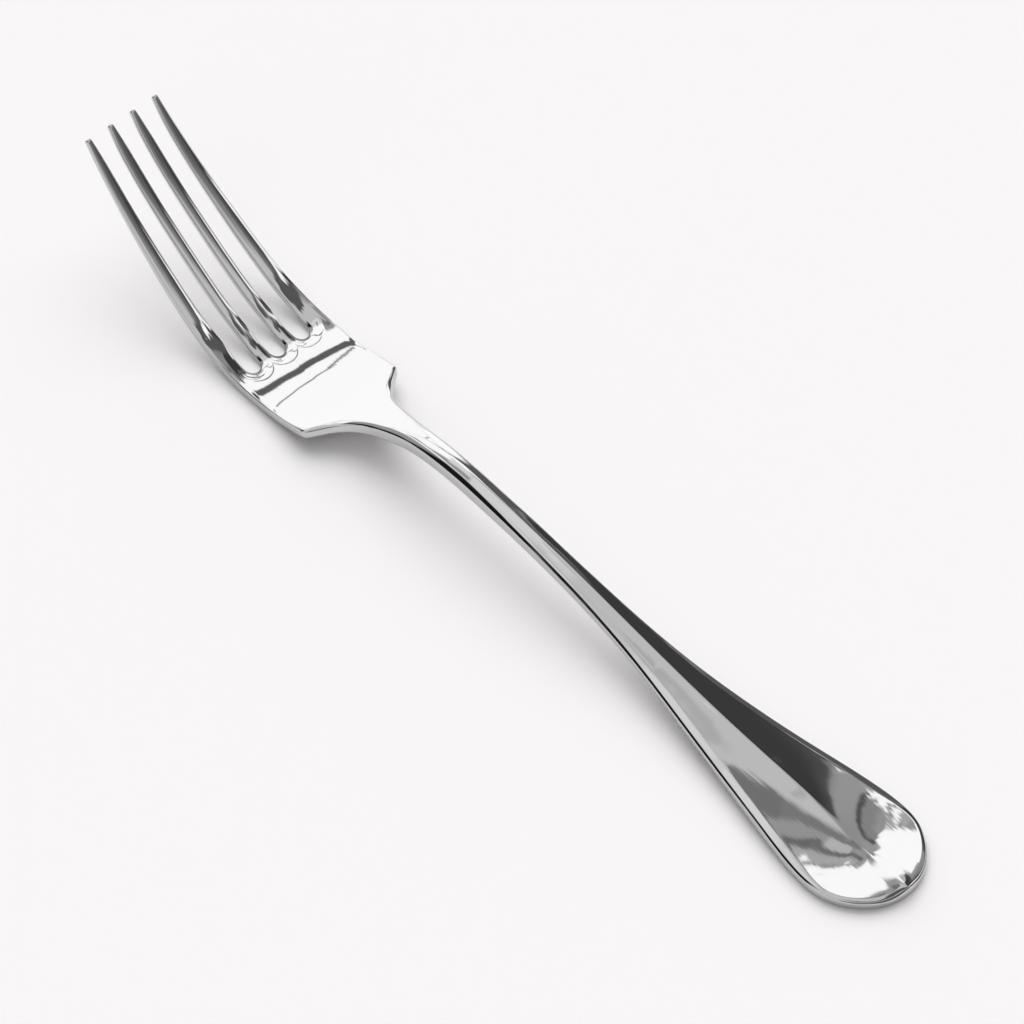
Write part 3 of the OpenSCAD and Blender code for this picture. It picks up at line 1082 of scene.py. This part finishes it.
@dataclass(frozen=True)
class Panel:
    """A soft-edged sheet of one brightness in the studio's surroundings.

    Its place is in degrees from straight up, as on a chart of the sky: across towards +X, and along towards
    +Y.

    Attributes:
        across: Middle, towards the fork's far side.
        along: Middle, towards the tine tips.
        half_across: Half width of the sheet.
        half_along: Half length of the sheet.
        turn: Turn of the sheet on the chart, in degrees, anticlockwise.
        soft: Width of its blurred border.
        glow: Brightness, where 1 is a white sheet in full light.
    """

    across: float
    along: float
    half_across: float
    half_along: float
    turn: float
    soft: float
    glow: float


@dataclass
class Studio:
    """A pale table among bright and dark sheets, under a broad lamp.

    Attributes:
        floor_colour: Colour of the table top.
        floor_roughness: Its roughness.
        floor_half: Half its side, in metres.
        walls: Brightness of the surroundings behind every panel.
        sun_power: Strength of the lamp.
        sun_size: Angle that the lamp covers, in degrees.
        sun_place: The lamp's angle from straight up and its turn from +Y towards +X, in degrees.
        panels: The sheets, from the back to the front.
    """

    floor_colour: str = "#F7F5F6"
    floor_roughness: float = 0.9
    floor_half: float = 3.0
    walls: float = 0.5
    sun_power: float = 1.4
    sun_size: float = 60.0
    sun_place: tuple[float, float] = (38.0, 50.0)
    panels: tuple[Panel, ...] = (
        # Sheets for the handle's faces, the rims, the neck and the tines
        Panel(-19.0, -25.0, 40.0, 44.0, 12.0, 3.0, 0.85),
        Panel(-14.0, 15.4, 9.0, 4.6, 0.0, 2.0, 1.08),
        Panel(2.4, 10.3, 9.0, 0.9, 26.0, 2.2, 0.66),
        Panel(-10.0, -52.0, 50.0, 22.0, 0.0, 12.0, 0.3),
        Panel(70.0, -60.0, 45.0, 54.0, 0.0, 36.0, 0.075),
        Panel(12.0, -66.0, 34.0, 26.0, 0.0, 12.0, 0.16),
        Panel(30.0, -12.0, 38.0, 7.0, 0.0, 3.0, 0.15),
        Panel(-82.0, -5.0, 14.0, 36.0, 0.0, 8.0, 0.8),
        Panel(91.6, 26.9, 50.0, 95.0, 15.0, 1.5, 0.15),
        Panel(93.5, 26.9, 50.0, 95.0, 15.0, 9.0, 0.068),
        Panel(32.0, 62.0, 46.0, 40.0, 0.0, 2.0, 1.65),
        Panel(-9.0, 24.5, 7.5, 4.0, 0.0, 2.0, 1.1),
        Panel(88.0, 28.0, 34.0, 6.5, 0.0, 3.0, 0.15),
        Panel(78.0, -4.0, 39.0, 7.0, 31.0, 2.0, 1.5),
        Panel(36.0, -16.0, 9.0, 2.3, -20.0, 1.5, 1.65),
        Panel(-65.0, 32.0, 40.0, 13.0, -20.0, 6.0, 0.015),
        # Small sheets for the handle's end
        Panel(27.2, 9.0, 1.7, 6.5, 18.0, 0.8, 0.64),
        Panel(33.3, 8.5, 1.5, 6.5, 10.0, 0.8, 0.38),
        Panel(30.5, 21.5, 9.6, 2.9, 0.0, 1.0, 1.65),
        Panel(48.5, 24.0, 8.5, 1.9, 0.0, 1.0, 0.7),
        Panel(43.0, 24.6, 3.5, 2.4, 30.0, 1.0, 1.65),
        Panel(28.8, 17.5, 1.8, 7.4, 14.0, 0.8, 1.65),
        Panel(32.3, 16.8, 2.5, 4.5, -12.0, 0.8, 1.65),
        Panel(28.6, 12.1, 1.8, 1.2, -15.0, 0.6, 1.65),
        Panel(28.7, 11.6, 0.5, 3.2, 24.0, 0.7, 0.42),
        Panel(23.0, 4.4, 2.6, 1.6, 35.0, 1.0, 0.75),
        Panel(23.4, 12.0, 1.1, 4.6, 4.0, 1.0, 0.22),
        Panel(25.3, 7.6, 1.0, 2.8, 50.0, 0.8, 0.25),
        Panel(17.3, 10.5, 1.9, 8.5, 15.0, 1.0, 0.31),
        Panel(15.6, 17.8, 3.3, 1.5, 0.0, 1.0, 0.27),
        Panel(35.8, 9.3, 0.85, 4.6, 10.0, 0.8, 0.13),
        # Dark strips, which the palm mirrors as a band, a thin line and darker sides
        Panel(29.0, 33.7, 13.5, 2.4, -17.0, 1.0, 0.17),
        Panel(26.8, 41.5, 4.2, 0.45, 40.0, 0.8, 0.2),
        Panel(33.4, 44.1, 4.0, 0.45, -9.0, 0.8, 0.2),
        Panel(50.0, 46.0, 1.4, 17.0, 0.0, 1.0, 0.15),
        Panel(11.0, 46.0, 1.4, 17.0, 0.0, 1.0, 0.15),
    )

    def floor(self) -> bpy.types.Object:
        """Make the table top as one large flat sheet, each corner a sign of its half size.

        Returns:
            The table top.
        """
        signs = np.array([[-1, -1, 0], [1, -1, 0], [1, 1, 0], [-1, 1, 0]], float)
        mesh = bpy.data.meshes.new("table_top")
        mesh.from_pydata((signs * self.floor_half).tolist(), [], [(0, 1, 2, 3)])
        material = bpy.data.materials.new("matt_white_paper")
        material.use_nodes = True
        shader = material.node_tree.nodes["Principled BSDF"]
        shader.inputs["Base Color"].default_value = linear(self.floor_colour)
        shader.inputs["Roughness"].default_value = self.floor_roughness
        shader.inputs["Specular IOR Level"].default_value = 0.0
        mesh.materials.append(material)
        thing = bpy.data.objects.new("table_top", mesh)
        bpy.context.scene.collection.objects.link(thing)
        return thing

    def chart(self, tree: bpy.types.NodeTree) -> bpy.types.NodeSocket:
        """Turn a direction into its place on the sky chart.

        The place lies at (x, y) / |(x, y)| times the angle from straight up, which is the arc cosine of z.

        Args:
            tree: The surroundings' node tree.

        Returns:
            A vector socket with the place in degrees.
        """
        way = add_node(tree, "ShaderNodeTexCoord").outputs["Generated"]
        even = add_node(tree, "ShaderNodeVectorMath", links={0: way}, operation="NORMALIZE").outputs[0]
        z = add_node(tree, "ShaderNodeSeparateXYZ", links={0: even}).outputs[2]
        angle = add_node(tree, "ShaderNodeMath", links={0: z}, operation="ARCCOSINE").outputs[0]
        degrees = add_node(tree, "ShaderNodeMath", links={0: angle}, operation="DEGREES").outputs[0]
        flat = add_node(tree, "ShaderNodeVectorMath", {1: (1.0, 1.0, 0.0)}, {0: even},
                        operation="MULTIPLY").outputs[0]
        side = add_node(tree, "ShaderNodeVectorMath", links={0: flat}, operation="NORMALIZE").outputs[0]
        place = add_node(tree, "ShaderNodeVectorMath", links={0: side, 3: degrees}, operation="SCALE")
        return place.outputs[0]

    def hang(self, tree: bpy.types.NodeTree, place: bpy.types.NodeSocket, panel: Panel,
             behind: bpy.types.NodeSocket) -> bpy.types.NodeSocket:
        """Put one panel in front of what is there.

        The panel covers where the distances from its middle, measured along its own sides, stay under its
        half sizes. A smooth step over the width of the border blurs both limits, and their product is the
        cover.

        Args:
            tree: The surroundings' node tree.
            place: Place on the sky chart.
            panel: The panel.
            behind: Brightness behind the panel.

        Returns:
            The brightness with the panel in place.
        """
        middle = (panel.across, panel.along, 0.0)
        turn = (0.0, 0.0, float(np.radians(panel.turn)))
        own = add_node(tree, "ShaderNodeMapping", {"Location": middle, "Rotation": turn}, {"Vector": place},
                       vector_type="TEXTURE").outputs[0]
        off = add_node(tree, "ShaderNodeVectorMath", links={0: own}, operation="ABSOLUTE").outputs[0]
        half = np.array([panel.half_across, panel.half_along])
        inner, outer = half - panel.soft / 2.0, half + panel.soft / 2.0
        none, full = (0.0, 0.0, 0.0), (1.0, 1.0, 1.0)
        limits = {7: (*outer.tolist(), 1.0), 8: (*inner.tolist(), 0.0), 9: none, 10: full}
        cover = add_node(tree, "ShaderNodeMapRange", limits, {6: off}, data_type="FLOAT_VECTOR",
                         interpolation_type="SMOOTHSTEP").outputs["Vector"]
        parts = add_node(tree, "ShaderNodeSeparateXYZ", links={0: cover}).outputs
        both = add_node(tree, "ShaderNodeMath", links={0: parts[0], 1: parts[1]}, operation="MULTIPLY")
        lit = add_node(tree, "ShaderNodeMix", {3: panel.glow}, {0: both.outputs[0], 2: behind},
                       data_type="FLOAT")
        return lit.outputs[0]

    def world(self) -> bpy.types.World:
        """Make the surroundings that the metal mirrors and that light the table.

        Returns:
            The world.
        """
        world = bpy.data.worlds.new("studio_surroundings")
        world.use_nodes = True
        tree = world.node_tree
        place = self.chart(tree)
        glow = add_node(tree, "ShaderNodeValue").outputs[0]
        glow.default_value = self.walls
        for panel in self.panels:
            glow = self.hang(tree, place, panel, glow)
        tree.links.new(glow, tree.nodes["Background"].inputs["Strength"])
        tree.nodes["Background"].inputs["Color"].default_value = (1.0, 1.0, 1.0, 1.0)
        bpy.context.scene.world = world
        return world

    def sun(self) -> bpy.types.Object:
        """Make the broad lamp that throws the fork's soft shadow.

        Returns:
            The lamp.
        """
        data = bpy.data.lights.new("broad_lamp", "SUN")
        data.energy = self.sun_power
        data.angle = float(np.radians(self.sun_size))
        lamp = bpy.data.objects.new("broad_lamp", data)
        lamp.visible_glossy = False
        tilt, turn = np.radians(self.sun_place)
        towards = Vector((np.sin(tilt) * np.sin(turn), np.sin(tilt) * np.cos(turn), np.cos(tilt)))
        lamp.rotation_euler = towards.to_track_quat("Z", "Y").to_euler()
        bpy.context.scene.collection.objects.link(lamp)
        return lamp

    def build(self) -> None:
        """Make the whole studio."""
        self.floor()
        self.world()
        self.sun()


def main() -> None:
    """Build the fork, the studio and the camera, and log each piece's points and faces."""
    logging.basicConfig(level=logging.INFO, format="%(name)s: %(message)s")
    bpy.context.scene.view_settings.view_transform = "Standard"
    Fork().build()
    Studio().build()
    Viewpoint().build()


if __name__ == "__main__":
    main()
